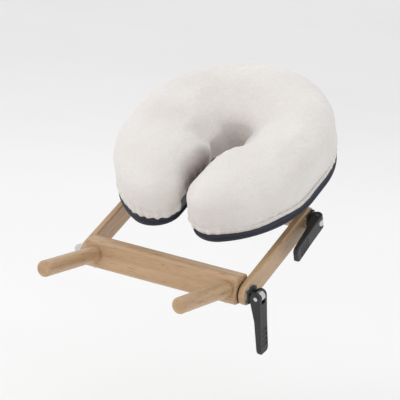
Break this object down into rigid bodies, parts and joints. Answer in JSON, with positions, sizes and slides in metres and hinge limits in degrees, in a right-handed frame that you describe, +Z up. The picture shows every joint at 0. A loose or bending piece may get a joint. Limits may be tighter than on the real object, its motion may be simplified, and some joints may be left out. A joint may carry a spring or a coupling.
{
  "type": "massage table face cradle cushion",
  "caption": "Crescent face cushion in a fitted fleece cover, on a tilting deck and swinging arms that plug into the end of a massage table.",
  "frame": {"origin": "midway between the two posts, at their axes' height, in the rail's face towards the table", "axes": "+Y away from the table, +X to the right of someone looking out over the cradle, +Z up"},
  "size_m": [0.2997, 0.438, 0.3449],
  "materials": {
    "fleece": "matte",
    "elastic": "matte",
    "vinyl": "satin",
    "foam": "matte",
    "hook_tape": "matte",
    "beech": "satin",
    "birch_ply": "satin",
    "lever_plastic": "satin",
    "nylon": "matte",
    "friction_rubber": "matte",
    "steel": "satin"
  },
  "bodies": {
    "base": {"base_rail": "beech", "post_left": "beech", "post_right": "beech", "post_pins": "steel"},
    "arms": {"arm_left": "beech", "arm_right": "beech", "arm_bushes": "nylon", "lift_tie_rod": "steel", "lift_cap_nut": "steel", "lift_washers": "steel", "lift_cam_saddle": "nylon", "lift_friction_discs": "friction_rubber", "tilt_tie_rod": "steel", "tilt_cap_nut": "steel", "tilt_washers": "steel", "tilt_cam_saddle": "nylon", "tilt_friction_discs": "friction_rubber"},
    "deck": {"deck_plate": "birch_ply", "pivot_block_left": "beech", "pivot_block_right": "beech", "block_bushes": "nylon", "block_screws": "steel", "tilt_spacer_tube": "steel", "hook_strips": "hook_tape", "loop_pad": "hook_tape", "vinyl_bottom_panel": "vinyl", "vinyl_side_band": "vinyl", "vinyl_top_panel": "vinyl", "support_foam": "foam", "comfort_foam": "foam", "fleece_cover": "fleece", "hem_elastic": "elastic"},
    "lift_lever": {"lift_lever": "lever_plastic", "lift_lever_pin": "steel"},
    "tilt_lever": {"tilt_lever": "lever_plastic", "tilt_lever_pin": "steel"}
  },
  "joints": [
    {"name": "lift", "type": "hinge", "parent": "base", "child": "arms", "pos_m": [0, 0.02, -0.004], "axis": [1, 0, 0], "range_deg": [-27, 30]},
    {"name": "tilt", "type": "hinge", "parent": "arms", "child": "deck", "pos_m": [0, 0.17682, 0.0759], "axis": [1, 0, 0], "range_deg": [-45, 8]},
    {"name": "lift_clamp", "type": "hinge", "parent": "arms", "child": "lift_lever", "pos_m": [0.1416, 0.02, -0.004], "axis": [0, -0.9659, -0.2588], "range_deg": [0, 95]},
    {"name": "tilt_clamp", "type": "hinge", "parent": "arms", "child": "tilt_lever", "pos_m": [0.1416, 0.17682, 0.0759], "axis": [0, -0.454, 0.891], "range_deg": [0, 95]}
  ]
}
